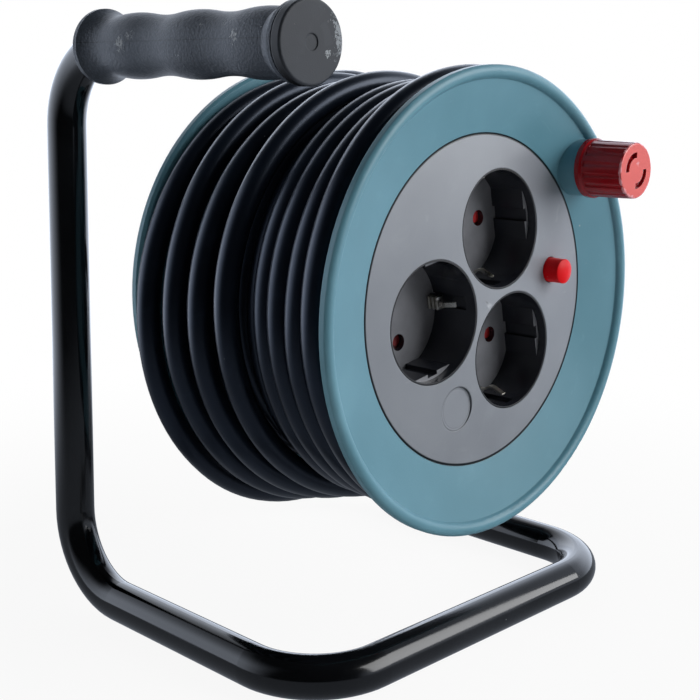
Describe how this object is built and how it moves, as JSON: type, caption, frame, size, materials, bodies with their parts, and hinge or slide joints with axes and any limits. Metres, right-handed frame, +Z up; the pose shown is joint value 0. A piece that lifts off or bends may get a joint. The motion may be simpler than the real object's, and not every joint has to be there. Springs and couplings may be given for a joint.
{
  "type": "extension cord reel",
  "caption": "Small hand-wound extension cord reel: drum with domed socket panel, crank knob and wound cable, turning on a bent tube stand with a carrying grip.",
  "frame": {"origin": "on the floor, under the middle of the foot", "axes": "+Z up, +X along the axle towards the socket side, +Y across the foot towards the diagonal tube"},
  "size_m": [0.1606, 0.1897, 0.2168],
  "materials": {
    "stand_paint": "gloss black paint",
    "grip_rubber": "matt, fine grain",
    "cap_plastic": "satin",
    "zinc_steel": "zinc plated",
    "drum_plastic": "satin",
    "bush_plastic": "satin",
    "panel_plastic": "satin",
    "socket_plastic": "satin",
    "strap_steel": "plated",
    "contact_brass": "plain",
    "red_plastic": "gloss",
    "shutter_plastic": "satin",
    "cable_rubber": "satin",
    "plug_rubber": "matt",
    "pin_nickel": "nickel plated"
  },
  "bodies": {
    "frame": {"frame_tube": "stand_paint", "handle_grip": "grip_rubber", "grip_end_cap": "cap_plastic", "stop_collar": "zinc_steel", "thrust_washer": "zinc_steel", "retaining_washer": "zinc_steel", "axle_circlip": "zinc_steel"},
    "drum": {"front_flange": "drum_plastic", "rear_flange": "drum_plastic", "hub_bush": "bush_plastic", "drum_screws": "zinc_steel", "socket_panel": "panel_plastic", "panel_screws": "zinc_steel", "contact_base": "socket_plastic", "socket_well_1": "socket_plastic", "socket_well_2": "socket_plastic", "socket_well_3": "socket_plastic", "earth_strap_1": "strap_steel", "earth_strap_2": "strap_steel", "earth_strap_3": "strap_steel", "neutral_bar": "contact_brass", "live_bar": "contact_brass", "earth_link": "contact_brass", "overload_breaker": "socket_plastic", "knob_spindle": "zinc_steel", "cord_grommet": "cable_rubber", "cable_lead_in": "cable_rubber", "cord_clamp": "socket_plastic", "clamp_screws": "zinc_steel", "cable_winding": "cable_rubber", "cable_tail": "cable_rubber", "plug_body": "plug_rubber", "plug_pins": "pin_nickel"},
    "knob": {"crank_knob": "red_plastic"},
    "reset": {"reset_button": "red_plastic"},
    "shutter_one": {"shutter_1": "shutter_plastic"},
    "shutter_two": {"shutter_2": "shutter_plastic"},
    "shutter_three": {"shutter_3": "shutter_plastic"}
  },
  "joints": [
    {"name": "drum_spin", "type": "hinge", "parent": "frame", "child": "drum", "pos_m": [0, 0, 0.1195], "axis": [1, 0, 0], "continuous": true},
    {"name": "knob_spin", "type": "hinge", "parent": "drum", "child": "knob", "pos_m": [0, 0.05162, 0.16221], "axis": [1, 0, 0], "continuous": true},
    {"name": "reset_press", "type": "slide", "parent": "drum", "child": "reset", "axis": [-1, 0, 0], "range_m": [0, 0.003], "stiffness_N_per_m": 1500},
    {"name": "shutter_turn_1", "type": "hinge", "parent": "drum", "child": "shutter_one", "pos_m": [0, 0.0086, 0.14314], "axis": [1, 0, 0], "range_deg": [0, 40], "stiffness_Nm_per_rad": 0.02},
    {"name": "shutter_turn_2", "type": "hinge", "parent": "drum", "child": "shutter_two", "pos_m": [0, 0.01617, 0.10023], "axis": [1, 0, 0], "range_deg": [0, 40], "stiffness_Nm_per_rad": 0.02},
    {"name": "shutter_turn_3", "type": "hinge", "parent": "drum", "child": "shutter_three", "pos_m": [0, -0.02478, 0.11513], "axis": [1, 0, 0], "range_deg": [0, 40], "stiffness_Nm_per_rad": 0.02}
  ]
}
